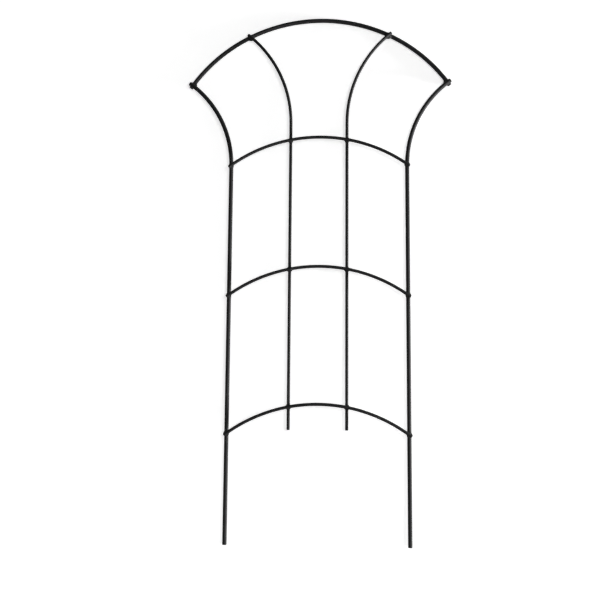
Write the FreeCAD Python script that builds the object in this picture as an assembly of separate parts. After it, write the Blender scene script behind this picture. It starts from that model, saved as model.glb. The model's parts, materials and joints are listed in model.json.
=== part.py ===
import FreeCAD, Part
import math
import os

# Espalier frame: a flat arched garden panel of round steel rods, welded at every crossing.
# Millimetres. X runs across the panel, Y through it with the crossbars at the front (-Y),
# Z upwards. The origin lies midway between the tips of the two stakes, in the middle of the
# panel's depth.

# Rods
OUTER_DIA = 8.0            # two outer uprights, whose lower ends are the stakes
INNER_DIA = 6.0            # two inner uprights
CROSSBAR_DIA = 6.0         # three arched crossbars
ARCH_DIA = 8.0             # top arch
END_ROUND = 1.0            # rounded edge on every cut end
SEAM_TURN = 180.0          # degrees about a rod's axis to the seam of its round surface

# Outer uprights: straight from the stake tip, then flared outwards to the arch
OUTER_HALF_SPACING = 167.0
OUTER_FLARE_RISE = 1.0     # start of the flare above the upper crossbar's crossing
OUTER_FLARE_RADIUS = 205.0

# Inner uprights: they stop just under the lowest crossbar
INNER_HALF_SPACING = 53.5
INNER_FOOT_DROP = 47.0     # foot below the lowest crossbar's apex
INNER_FLARE_RISE = 29.5    # start of the flare above the upper crossbar's apex
INNER_FLARE_RADIUS = 233.0

# Crossbars: the centre line's height at the middle of the panel
LOWER_CROSSBAR_HEIGHT = 253.0
MIDDLE_CROSSBAR_HEIGHT = 508.0
UPPER_CROSSBAR_HEIGHT = 756.5
CROSSBAR_RADIUS = 285.0
CROSSBAR_OVERHANG = 0.2    # past the outer face of the outer uprights

# Top arch: its highest point is the height of the whole frame
FRAME_HEIGHT = 1000.0
ARCH_RADIUS = 300.0
ARCH_END_OVERHANG = 1.0    # past the outer edge of the outer uprights
OUTER_TOP_OVERHANG = 0.5   # outer uprights past the outer edge of the arch
INNER_TOP_OVERHANG = 0.0   # inner uprights past the outer edge of the arch

# Welds: round beads between two crossing rods
ROOT_GAP = 0.3             # between the two rods of a joint, filled by the weld
CROSSBAR_WELD_RADIUS = 5.4
CROSSBAR_WELD_DEPTH = 2.6  # to each side of the joint's mid plane
ARCH_WELD_RADIUS = 6.4
ARCH_WELD_DEPTH = 3.2
ARCH_WELD_INSET = 3.4      # arch welds sit off the crossing, under the arch

# Depth of each layer. The uprights share one front plane, on which the crossbars lie, and the
# arch lies against the backs of the outer uprights.
OUTER_Y = (CROSSBAR_DIA - ARCH_DIA) / 2
FRONT_PLANE_Y = OUTER_Y - OUTER_DIA / 2
BACK_PLANE_Y = OUTER_Y + OUTER_DIA / 2
INNER_Y = FRONT_PLANE_Y + INNER_DIA / 2
CROSSBAR_Y = FRONT_PLANE_Y - ROOT_GAP - CROSSBAR_DIA / 2
ARCH_Y = BACK_PLANE_Y + ROOT_GAP + ARCH_DIA / 2

ARCH_CENTRE_Z = FRAME_HEIGHT - ARCH_DIA / 2 - ARCH_RADIUS

# Heights that go with the crossbars
INNER_FOOT_HEIGHT = LOWER_CROSSBAR_HEIGHT - INNER_FOOT_DROP
INNER_FLARE_START = UPPER_CROSSBAR_HEIGHT + INNER_FLARE_RISE
CROSSBAR_SAG = CROSSBAR_RADIUS - math.sqrt(CROSSBAR_RADIUS ** 2 - OUTER_HALF_SPACING ** 2)
OUTER_FLARE_START = UPPER_CROSSBAR_HEIGHT - CROSSBAR_SAG + OUTER_FLARE_RISE

ALONG_X = FreeCAD.Vector(1, 0, 0)
ALONG_Y = FreeCAD.Vector(0, 1, 0)
ALONG_Z = FreeCAD.Vector(0, 0, 1)


def disc(diameter, centre, normal):
    """A rod's round section, its seam turned to where the weld beads are cut cleanly."""
    rim = Part.makeCircle(diameter / 2, centre, normal)
    rim.rotate(centre, normal, SEAM_TURN)
    return Part.Face(Part.Wire(rim))


def round_ends(rod):
    """Rounds the edges of a rod's two flat cut ends."""
    ends = [face for face in rod.Faces if isinstance(face.Surface, Part.Plane)]
    edges = [edge for face in ends for edge in face.Edges]
    return rod.makeFillet(END_ROUND, edges)


def arched_rod(diameter, y, centre_z, radius, half_angle):
    """A rod bent to one circular arc over the middle of the panel. The angle is in degrees."""
    pivot = FreeCAD.Vector(0, y, centre_z)
    section = disc(diameter, pivot + ALONG_Z * radius, ALONG_X)
    section.rotate(pivot, ALONG_Y, -half_angle)
    return round_ends(section.revolve(pivot, ALONG_Y, 2 * half_angle))


def flared_rod(diameter, x, y, foot_z, flare_z, radius, flare_angle):
    """A right-hand upright: straight from its foot, then bent outwards through the angle."""
    foot = FreeCAD.Vector(x, y, foot_z)
    flare = FreeCAD.Vector(x, y, flare_z)
    straight = disc(diameter, foot, ALONG_Z).extrude(flare - foot)
    bend_axis = flare + ALONG_X * radius
    bend = disc(diameter, flare, ALONG_Z).revolve(bend_axis, ALONG_Y, flare_angle)
    return round_ends(straight.fuse(bend).removeSplitter())


def arc_height(x, centre_z, radius):
    """Height of an arched rod's centre line at a distance x from the middle."""
    return centre_z + math.sqrt(radius ** 2 - x ** 2)


def arch_crossing(half_spacing, flare_z, flare_radius):
    """Where a flared upright's centre line meets the arch's: x, z and the turn in degrees."""
    bend_x = half_spacing + flare_radius
    run = math.hypot(bend_x, flare_z - ARCH_CENTRE_Z)
    along = (ARCH_RADIUS ** 2 - flare_radius ** 2 + run ** 2) / (2 * run)
    across = math.sqrt(ARCH_RADIUS ** 2 - along ** 2)
    slope = math.atan2(flare_z - ARCH_CENTRE_Z, bend_x)
    x = along * math.cos(slope) - across * math.sin(slope)
    z = ARCH_CENTRE_Z + along * math.sin(slope) + across * math.cos(slope)
    turn = math.degrees(math.atan2(z - flare_z, bend_x - x))
    return x, z, turn


def past_edge(other_diameter, overhang, crossing_angle):
    """Length of a rod beyond a crossing centre line, so that it passes the other rod's far edge."""
    return (other_diameter / 2 + overhang) / math.sin(crossing_angle)


def weld(x, y, z, radius, depth, rods):
    """A round bead with a full-round rim about a crossing, cut back to the rods' surfaces."""
    centre = FreeCAD.Vector(x, y, z)
    front, back = centre - ALONG_Y * depth, centre + ALONG_Y * depth
    to_rim = ALONG_X * (radius - depth)
    rim = Part.Arc(front + to_rim, centre + ALONG_X * radius, back + to_rim)
    outline = Part.Wire([Part.makeLine(front, front + to_rim), rim.toShape(),
                         Part.makeLine(back + to_rim, back), Part.makeLine(back, front)])
    bead = Part.Face(outline).revolve(centre, ALONG_Y, 360)
    return bead.cut(rods)


def mirrored(shape):
    """The same piece on the left of the panel."""
    return shape.mirror(FreeCAD.Vector(0, 0, 0), ALONG_X)


def arch_direction(x):
    """The arch's tilt in degrees below the horizontal, at a distance x from the middle."""
    return math.degrees(math.asin(x / ARCH_RADIUS))


def outer_upright():
    x, z, turn = arch_crossing(OUTER_HALF_SPACING, OUTER_FLARE_START, OUTER_FLARE_RADIUS)
    crossing_angle = math.radians(90 - turn + arch_direction(x))
    extra = past_edge(ARCH_DIA, OUTER_TOP_OVERHANG, crossing_angle)
    angle = turn + math.degrees(extra / OUTER_FLARE_RADIUS)
    return flared_rod(OUTER_DIA, OUTER_HALF_SPACING, OUTER_Y, 0, OUTER_FLARE_START,
                      OUTER_FLARE_RADIUS, angle)


def inner_upright():
    """Its flare is turned a little about its own straight part, so that its end leans back
    from the plane of the crossbars to the plane of the arch."""
    x, z, turn = arch_crossing(INNER_HALF_SPACING, INNER_FLARE_START, INNER_FLARE_RADIUS)
    crossing_angle = math.radians(90 - turn + arch_direction(x))
    extra = past_edge(ARCH_DIA, INNER_TOP_OVERHANG, crossing_angle)
    angle = turn + math.degrees(extra / INNER_FLARE_RADIUS)
    rod = flared_rod(INNER_DIA, INNER_HALF_SPACING, INNER_Y, INNER_FOOT_HEIGHT,
                     INNER_FLARE_START, INNER_FLARE_RADIUS, angle)
    lean = math.degrees(math.atan2(OUTER_DIA - INNER_DIA, x - INNER_HALF_SPACING))
    rod.rotate(FreeCAD.Vector(INNER_HALF_SPACING, INNER_Y, 0), ALONG_Z, lean)
    return rod


def crossbar(height):
    reach = OUTER_HALF_SPACING + OUTER_DIA / 2 + CROSSBAR_OVERHANG
    half_angle = math.degrees(math.asin(reach / CROSSBAR_RADIUS))
    return arched_rod(CROSSBAR_DIA, CROSSBAR_Y, height - CROSSBAR_RADIUS, CROSSBAR_RADIUS,
                      half_angle)


def top_arch():
    x, z, turn = arch_crossing(OUTER_HALF_SPACING, OUTER_FLARE_START, OUTER_FLARE_RADIUS)
    crossing_angle = math.radians(90 - turn + arch_direction(x))
    extra = past_edge(OUTER_DIA, ARCH_END_OVERHANG, crossing_angle)
    half_angle = arch_direction(x) + math.degrees(extra / ARCH_RADIUS)
    return arched_rod(ARCH_DIA, ARCH_Y, ARCH_CENTRE_Z, ARCH_RADIUS, half_angle)


def crossbar_weld(x, height, rods):
    z = arc_height(x, height - CROSSBAR_RADIUS, CROSSBAR_RADIUS)
    return weld(x, FRONT_PLANE_Y - ROOT_GAP / 2, z, CROSSBAR_WELD_RADIUS,
                CROSSBAR_WELD_DEPTH, rods)


def arch_weld(half_spacing, flare_z, flare_radius, corner_share, rods):
    """The bead sits off the crossing, down along the upright. A share of 1 turns it to the
    arch's inward direction, and 0.5 to the middle of the corner between the two."""
    x, z, turn = arch_crossing(half_spacing, flare_z, flare_radius)
    down_upright = 270 - turn
    inward_arch = 180 - arch_direction(x)
    inset = math.radians(down_upright + corner_share * (inward_arch - down_upright))
    return weld(x + ARCH_WELD_INSET * math.cos(inset), BACK_PLANE_Y + ROOT_GAP / 2,
                z + ARCH_WELD_INSET * math.sin(inset), ARCH_WELD_RADIUS, ARCH_WELD_DEPTH, rods)


def build():
    """Every piece by its node's name."""
    outer = outer_upright()
    inner = inner_upright()
    arch = top_arch()
    pieces = {
        "right_outer_upright": outer,
        "left_outer_upright": mirrored(outer),
        "right_inner_upright": inner,
        "left_inner_upright": mirrored(inner),
        "top_arch": arch,
    }
    welds = {}
    for level, height in (("lower", LOWER_CROSSBAR_HEIGHT), ("middle", MIDDLE_CROSSBAR_HEIGHT),
                          ("upper", UPPER_CROSSBAR_HEIGHT)):
        bar = crossbar(height)
        pieces[level + "_crossbar"] = bar
        welds[level + "_outer_weld"] = crossbar_weld(OUTER_HALF_SPACING, height, [outer, bar])
        welds[level + "_inner_weld"] = crossbar_weld(INNER_HALF_SPACING, height, [inner, bar])
    # Outer arch welds fill the inside of the corner, inner ones both sides of the upright
    welds["arch_outer_weld"] = arch_weld(OUTER_HALF_SPACING, OUTER_FLARE_START,
                                         OUTER_FLARE_RADIUS, 0.5, [outer, arch])
    welds["arch_inner_weld"] = arch_weld(INNER_HALF_SPACING, INNER_FLARE_START,
                                         INNER_FLARE_RADIUS, 0.0, [inner, arch])
    for name, bead in welds.items():
        pieces["right_" + name] = bead
        pieces["left_" + name] = mirrored(bead)
    return pieces


os.makedirs("parts", exist_ok=True)
for node, piece in build().items():
    piece.exportStep("parts/" + node + ".step")
    print(node, "valid", piece.isValid(), "solids", len(piece.Solids), "mm3 %.1f" % piece.Volume)
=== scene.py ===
import json
import math

import bmesh
import bpy
from mathutils import Matrix, Vector, noise

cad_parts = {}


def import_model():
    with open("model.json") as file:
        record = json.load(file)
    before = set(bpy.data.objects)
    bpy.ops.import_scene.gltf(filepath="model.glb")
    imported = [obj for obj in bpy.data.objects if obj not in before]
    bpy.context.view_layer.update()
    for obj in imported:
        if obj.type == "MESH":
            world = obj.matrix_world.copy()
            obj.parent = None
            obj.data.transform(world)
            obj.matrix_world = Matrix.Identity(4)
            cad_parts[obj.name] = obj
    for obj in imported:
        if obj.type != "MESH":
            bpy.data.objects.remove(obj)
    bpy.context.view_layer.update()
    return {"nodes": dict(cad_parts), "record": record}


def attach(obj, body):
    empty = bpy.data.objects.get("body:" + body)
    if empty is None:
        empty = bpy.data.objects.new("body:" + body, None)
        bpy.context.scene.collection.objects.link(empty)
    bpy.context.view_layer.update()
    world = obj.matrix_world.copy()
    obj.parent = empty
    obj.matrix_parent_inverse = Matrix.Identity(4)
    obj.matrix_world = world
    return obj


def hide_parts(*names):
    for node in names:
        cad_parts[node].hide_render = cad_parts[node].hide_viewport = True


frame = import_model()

# Camera, a quarter of the way up the frame and looking up at it: metres, degrees and millimetres
CAMERA_PLACE = (0.0508, -1.5398, 0.2543)
CAMERA_PITCH = 7.08
CAMERA_YAW = 3.14
CAMERA_ROLL = 0.45
CAMERA_LENS = 50.0
CAMERA_SENSOR = 36.0

# Studio: the frame leans on a white wall with its arch, and its stakes stand a little out from it
WALL_GAP = 0.0117           # behind the frame's middle plane, where the arch touches the wall
STAKE_GAP = 0.0070          # further, at the floor and midway between the stakes
STAKE_TWIST = 0.022         # and how that grows per metre to the right
STAKE_SIDE = 0.3            # up to this far from the middle
WALL_CELLS = 20             # faces per metre of the wall behind the frame
WALL_WIDTH = 5.0
WALL_HEIGHT = 4.0
FLOOR_WIDTH = 5.0
FLOOR_DEPTH = 2.0           # in front of the wall
WALL_COLOUR = (0.86, 0.86, 0.86, 1.0)
FLOOR_COLOUR = (0.60, 0.60, 0.60, 1.0)
WALL_LIFT = 0.645           # what camera rays see of the stage beyond its lit colour
WALL_LIFT_SLOPE = -0.20     # per metre to the right, where the side lamp lights the wall more
FLOOR_LIFT = 0.86
FLOOR_LIFT_SLOPE = -0.06
LIFT_REACH = 0.6            # the lift goes on changing this far to either side
MIRROR_SHARE = 0.2          # share of that lift in what glossy and transmitted rays see
ROOM_DIM = 0.03             # strength of the room's light from the left
ROOM_BRIGHT = 0.30          # and from the right

# Lamps: place, point aimed at, width, height and power, in metres and watts
KEY_LAMP = ((0.82, -2.2, 0.55), (0, 0, 0.5), 0.35, 0.9, 14.0)
SIDE_LAMP = ((3.00, -0.18, 0.20), (0, 0, 0.5), 0.3, 0.5, 200.0)

# Powder coat
COAT_DARK = (0.005, 0.005, 0.0055, 1.0)
COAT_PALE = (0.008, 0.008, 0.0085, 1.0)
DUST_COLOUR = (0.075, 0.073, 0.070, 1.0)
COAT_IOR = 1.38

# The rods at their crossings, in metres as in the solids: depths, radii and centre lines
OUTER_ROD = (-0.0010, 0.004)
INNER_ROD = (-0.0020, 0.003)
INNER_ROD_END = (0.0, 0.003)        # where it has leaned back to the arch
BAR_ROD = (-0.0083, 0.003)
ARCH_ROD = (0.0073, 0.004)
UPRIGHTS = {"outer": (0.167, OUTER_ROD), "inner": (0.0535, INNER_ROD)}
BAR_TOPS = {"lower": 0.253, "middle": 0.508, "upper": 0.7565}
BAR_BEND = 0.285
ARCH_CROSSINGS = {          # x, z, the upright's turn from vertical, the arch's fall, its upright
    "outer": (0.24715, 0.86604, 52.5, 55.5, OUTER_ROD),
    "inner": (0.13565, 0.96358, 49.7, 26.9, INNER_ROD_END),
}

# Weld beads
BAR_BEAD = 0.0054           # reach from a crossbar's crossing
ARCH_BEAD = 0.0064          # reach from a point in the corner under an arch's crossing
ARCH_BEAD_INSET = 0.0034    # how far that point lies from the crossing
BEAD_LAYERS = 8             # rows of faces from one rod to the other
BEAD_SQUARENESS = 2.5       # how fully a bead bulges between its rods
RIM_UNEVEN = 0.05           # share of the reach
RIPPLES = 26
RIPPLE_POINTS = 6           # points round the bead for each ripple
RIPPLE_HEIGHT = 0.00010
RIPPLE_LEAN = 1.8           # radians by which a ripple is ahead in the middle of the bead
SINK = 0.00015              # how far a bead's edges run into its rods
EDGE_SHARE = 0.96           # of a rod's radius, which a bead's edge keeps within
CAP_DEPTH = 0.0015          # how deep in the rods a bead's ends close
SEED_STEP = 3.7             # between the uneven rims of one joint and the next
LEFT_SEED = 50


def node(tree, kind, *inputs, **settings):
    """A shader node. Inputs are (socket, value or output) pairs."""
    made = tree.nodes.new("ShaderNode" + kind)
    for name, value in settings.items():
        setattr(made, name, value)
    for socket, value in inputs:
        if isinstance(value, bpy.types.NodeSocket):
            tree.links.new(value, made.inputs[socket])
        else:
            made.inputs[socket].default_value = value
    return made


def maths(tree, operation, a, b=0.0):
    return node(tree, "Math", (0, a), (1, b), operation=operation).outputs[0]


def material(name):
    """A new material, its node tree emptied, and its output node."""
    made = bpy.data.materials.new(name)
    made.use_nodes = True
    made.node_tree.nodes.clear()
    return made, made.node_tree, node(made.node_tree, "OutputMaterial")


def ramp(tree, value, low, high, out_low, out_high):
    """The value's range from low to high, mapped to the range of results and held at its ends."""
    return node(tree, "MapRange", ("Value", value), ("From Min", low), ("From Max", high),
                ("To Min", out_low), ("To Max", out_high)).outputs["Result"]


def coating(name, peel_scale, peel_height, rough_low, rough_high):
    """Satin black powder coat: fine orange peel, uneven gloss and a few pale specks of dust."""
    made, tree, output = material(name)
    place = node(tree, "TexCoord").outputs["Object"]
    cloud = node(tree, "TexNoise", ("Vector", place), ("Scale", 55.0), ("Detail", 3.0))
    peel = node(tree, "TexNoise", ("Vector", place), ("Scale", peel_scale), ("Detail", 2.0),
                ("Roughness", 0.45))
    dust = node(tree, "TexNoise", ("Vector", place), ("Scale", 1900.0), ("Detail", 1.0))
    specks = ramp(tree, dust.outputs["Fac"], 0.70, 0.76, 0.0, 0.35)
    tone = ramp(tree, cloud.outputs["Fac"], 0.3, 0.7, 0.0, 1.0)
    black = node(tree, "Mix", ("Factor", tone), (6, COAT_DARK),
                 (7, COAT_PALE), data_type="RGBA")
    dusty = node(tree, "Mix", ("Factor", specks), (6, black.outputs[2]),
                 (7, DUST_COLOUR), data_type="RGBA")
    gloss = ramp(tree, cloud.outputs["Fac"], 0.3, 0.7, rough_low, rough_high)
    rough = maths(tree, "ADD", gloss, maths(tree, "MULTIPLY", specks, 0.5))
    bump = node(tree, "Bump", ("Height", peel.outputs["Fac"]), ("Strength", 0.6),
                ("Distance", peel_height))
    paint = node(tree, "BsdfPrincipled", ("Base Color", dusty.outputs[2]), ("Roughness", rough),
                 ("Normal", bump.outputs["Normal"]), ("IOR", COAT_IOR))
    tree.links.new(paint.outputs["BSDF"], output.inputs["Surface"])
    return made


def stage_material(name, colour, lift, slope, one_sided):
    """Matt white that takes shadows. A one-sided stage lets everything through from behind."""
    made, tree, output = material(name)
    lit = node(tree, "BsdfDiffuse", ("Color", colour))
    path = node(tree, "LightPath").outputs
    mirrored = maths(tree, "MAXIMUM", path["Is Glossy Ray"], path["Is Transmission Ray"])
    seen = maths(tree, "MAXIMUM", path["Is Camera Ray"],
                 maths(tree, "MULTIPLY", mirrored, MIRROR_SHARE))
    place = node(tree, "SeparateXYZ", (0, node(tree, "TexCoord").outputs["Object"])).outputs
    change = LIFT_REACH * slope
    evened = ramp(tree, place["X"], -LIFT_REACH, LIFT_REACH, lift - change, lift + change)
    glow = node(tree, "Emission", ("Color", (1.0, 1.0, 1.0, 1.0)),
                ("Strength", maths(tree, "MULTIPLY", seen, evened)))
    surface = node(tree, "AddShader", (0, lit.outputs[0]), (1, glow.outputs[0])).outputs[0]
    if one_sided:
        behind = node(tree, "NewGeometry").outputs["Backfacing"]
        clear = node(tree, "BsdfTransparent").outputs[0]
        surface = node(tree, "MixShader", (0, behind), (1, surface), (2, clear)).outputs[0]
    tree.links.new(surface, output.inputs["Surface"])
    return made


def backdrop(name, corners, faces, surface):
    """A stage piece whose faces look the way their corners turn."""
    mesh = bpy.data.meshes.new(name)
    mesh.from_pydata(corners, [], faces)
    made = bpy.data.objects.new(name, mesh)
    bpy.context.scene.collection.objects.link(made)
    mesh.materials.append(surface)
    return made


def wall_depth(x, z):
    """How far behind the frame the wall is: nearest at the arch, furthest at the right stake."""
    drop = max(0.0, 1.0 - z) ** 3
    side = max(-STAKE_SIDE, min(STAKE_SIDE, x))
    return WALL_GAP + drop * (STAKE_GAP + STAKE_TWIST * side)


def lamp(name, place, aim, width, height, power):
    """A soft rectangular lamp, not seen by the camera itself."""
    light = bpy.data.lights.new(name, "AREA")
    light.shape = "RECTANGLE"
    light.size, light.size_y, light.energy = width, height, power
    made = bpy.data.objects.new(name, light)
    made.location = place
    made.rotation_euler = (Vector(aim) - Vector(place)).to_track_quat("-Z", "Y").to_euler()
    made.visible_camera = False
    bpy.context.scene.collection.objects.link(made)
    return made


def camera():
    lens = bpy.data.cameras.new("camera")
    lens.lens, lens.sensor_width = CAMERA_LENS, CAMERA_SENSOR
    made = bpy.data.objects.new("camera", lens)
    turn = (Matrix.Rotation(math.radians(CAMERA_YAW), 4, "Z")
            @ Matrix.Rotation(math.radians(90 + CAMERA_PITCH), 4, "X")
            @ Matrix.Rotation(math.radians(CAMERA_ROLL), 4, "Z"))
    made.matrix_world = Matrix.Translation(CAMERA_PLACE) @ turn
    bpy.context.scene.collection.objects.link(made)
    bpy.context.scene.camera = made


def world():
    """Pale room light, dim on the left. What lies behind the frame is seen as white."""
    made = bpy.data.worlds.new("room")
    bpy.context.scene.world = made
    made.use_nodes = True
    tree = made.node_tree
    tree.nodes.clear()
    towards = node(tree, "SeparateXYZ", (0, node(tree, "TexCoord").outputs["Generated"])).outputs
    room = ramp(tree, towards["X"], 0.0, 0.9, ROOM_DIM, ROOM_BRIGHT)
    light = node(tree, "Background", ("Color", (1.0, 1.0, 1.0, 1.0)), ("Strength", room))
    white = node(tree, "Background", ("Color", (1.0, 1.0, 1.0, 1.0)), ("Strength", 1.0))
    path = node(tree, "LightPath").outputs
    mirrored = maths(tree, "MAXIMUM", path["Is Glossy Ray"], path["Is Transmission Ray"])
    behind = ramp(tree, towards["Y"], 0.0, 0.2, 0.0, 1.0)
    seen = maths(tree, "MAXIMUM", path["Is Camera Ray"], maths(tree, "MULTIPLY", mirrored, behind))
    both = node(tree, "MixShader", (0, seen), (1, light.outputs[0]), (2, white.outputs[0]))
    node(tree, "OutputWorld", ("Surface", both.outputs[0]))


def studio():
    half = FLOOR_WIDTH / 2
    backdrop("floor", [(-half, -FLOOR_DEPTH, 0), (half, -FLOOR_DEPTH, 0), (half, FLOOR_DEPTH, 0),
                       (-half, FLOOR_DEPTH, 0)], [(0, 1, 2, 3)],
             stage_material("floor_white", FLOOR_COLOUR, FLOOR_LIFT, FLOOR_LIFT_SLOPE, False))
    beside = round(STAKE_SIDE * WALL_CELLS)
    across = [step / WALL_CELLS for step in range(-beside, beside + 1)]
    across = [-WALL_WIDTH / 2] + across + [WALL_WIDTH / 2]
    upward = [step / WALL_CELLS for step in range(WALL_CELLS + 1)] + [WALL_HEIGHT]
    corners = [(x, wall_depth(x, z), z) for z in upward for x in across]
    row = len(across)
    faces = [(i + j * row, i + 1 + j * row, i + 1 + (j + 1) * row, i + (j + 1) * row)
             for j in range(len(upward) - 1) for i in range(row - 1)]
    wall = backdrop("wall", corners, faces,
                    stage_material("wall_white", WALL_COLOUR, WALL_LIFT, WALL_LIFT_SLOPE, True))
    for face in wall.data.polygons:
        face.use_smooth = True
    lamp("key", *KEY_LAMP)
    lamp("side", *SIDE_LAMP)


def toe(rod, rod_angle, facing, angle, reach):
    """Where a bead's edge meets a rod in one direction from the crossing: its reach and depth.
    It goes no further than the rod is wide. Facing is 1 for the rod's back and -1 for its front."""
    depth, radius = rod
    across = abs(math.sin(angle - rod_angle))
    reach = min(reach, EDGE_SHARE * radius / max(across, 0.001))
    return reach, depth + facing * (math.sqrt(radius ** 2 - (reach * across) ** 2) - SINK)


def bead(name, x, z, front, front_angle, back, back_angle, radius, inset, inset_angle, seed):
    """A rippled weld bead round the crossing of two rods, with closed ends inside them."""
    turns = RIPPLES * RIPPLE_POINTS
    built = bmesh.new()
    rings = []
    for i in range(turns):
        angle = 2 * math.pi * i / turns
        off = angle - inset_angle
        rim = inset * math.cos(off) + math.sqrt(radius ** 2 - (inset * math.sin(off)) ** 2)
        rim *= 1 + RIM_UNEVEN * noise.noise(Vector((2 * math.cos(angle), 2 * math.sin(angle), seed)))
        start, start_y = toe(front, front_angle, 1, angle, rim)
        end, end_y = toe(back, back_angle, -1, angle, rim)
        ring = []
        for j in range(BEAD_LAYERS + 1):
            share = j / BEAD_LAYERS
            full = 1 - abs(2 * share - 1) ** BEAD_SQUARENESS
            phase = RIPPLES * angle + RIPPLE_LEAN * full
            reach = start + share * (end - start) + full * (rim - (start + end) / 2)
            reach += RIPPLE_HEIGHT * (abs(math.sin(phase / 2)) - 1) * min(1.0, 3 * full)
            ring.append(built.verts.new((x + reach * math.cos(angle),
                                         start_y + share * (end_y - start_y),
                                         z + reach * math.sin(angle))))
        rings.append(ring)
    inner_front = built.verts.new((x, front[0] + front[1] - CAP_DEPTH, z))
    inner_back = built.verts.new((x, back[0] - back[1] + CAP_DEPTH, z))
    for i in range(turns):
        this, following = rings[i - 1], rings[i]
        for j in range(BEAD_LAYERS):
            built.faces.new((this[j], following[j], following[j + 1], this[j + 1]))
        built.faces.new((this[0], inner_front, following[0]))
        built.faces.new((this[-1], following[-1], inner_back))
    bmesh.ops.recalc_face_normals(built, faces=built.faces)
    mesh = bpy.data.meshes.new(name)
    built.to_mesh(mesh)
    built.free()
    for face in mesh.polygons:
        face.use_smooth = True
    piece = bpy.data.objects.new(name, mesh)
    bpy.context.scene.collection.objects.link(piece)
    return piece


def weld_beads():
    """One bead for each weld node, on both sides of the panel."""
    joints = []
    for level, top in BAR_TOPS.items():
        for which, (x, rod) in UPRIGHTS.items():
            z = top - BAR_BEND + math.sqrt(BAR_BEND ** 2 - x ** 2)
            joints.append((level + "_" + which, x, z, BAR_ROD, -math.asin(x / BAR_BEND), rod,
                           math.pi / 2, BAR_BEAD, 0.0, 0.0))
    for which, (x, z, turn, fall, rod) in ARCH_CROSSINGS.items():
        upright, arch = math.radians(90 - turn), math.radians(-fall)
        down, inward = upright + math.pi, arch + math.pi
        aim = (down + inward) / 2 if which == "outer" else down
        joints.append(("arch_" + which, x, z, rod, upright, ARCH_ROD, arch, ARCH_BEAD,
                       ARCH_BEAD_INSET, aim))
    made = {}
    for number, joint in enumerate(joints):
        name, x, z, front, front_angle, back, back_angle, radius, inset, aim = joint
        seed = number * SEED_STEP
        right = bead("right_" + name + "_bead", x, z, front, front_angle, back, back_angle,
                     radius, inset, aim, seed)
        left = bead("left_" + name + "_bead", -x, z, front, math.pi - front_angle, back,
                    math.pi - back_angle, radius, inset, math.pi - aim, seed + LEFT_SEED)
        made["right_" + name + "_weld"] = right
        made["left_" + name + "_weld"] = left
    return made


camera()
world()
studio()

COATS = {
    "black_coating": coating("black_coat", 1100.0, 0.00004, 0.60, 0.68),
    "weld_coating": coating("weld_coat", 900.0, 0.00005, 0.58, 0.68),
}
SLOT_OF = {entry["node"]: entry["material_slot"] for entry in frame["record"]["subparts"]}
for name, piece in frame["nodes"].items():
    piece.data.materials.clear()
    piece.data.materials.append(COATS[SLOT_OF[name]])

for weld, piece in weld_beads().items():
    piece.data.materials.append(COATS["weld_coating"])
    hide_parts(weld)
    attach(piece, "root")

bpy.context.scene.view_settings.view_transform = "Standard"
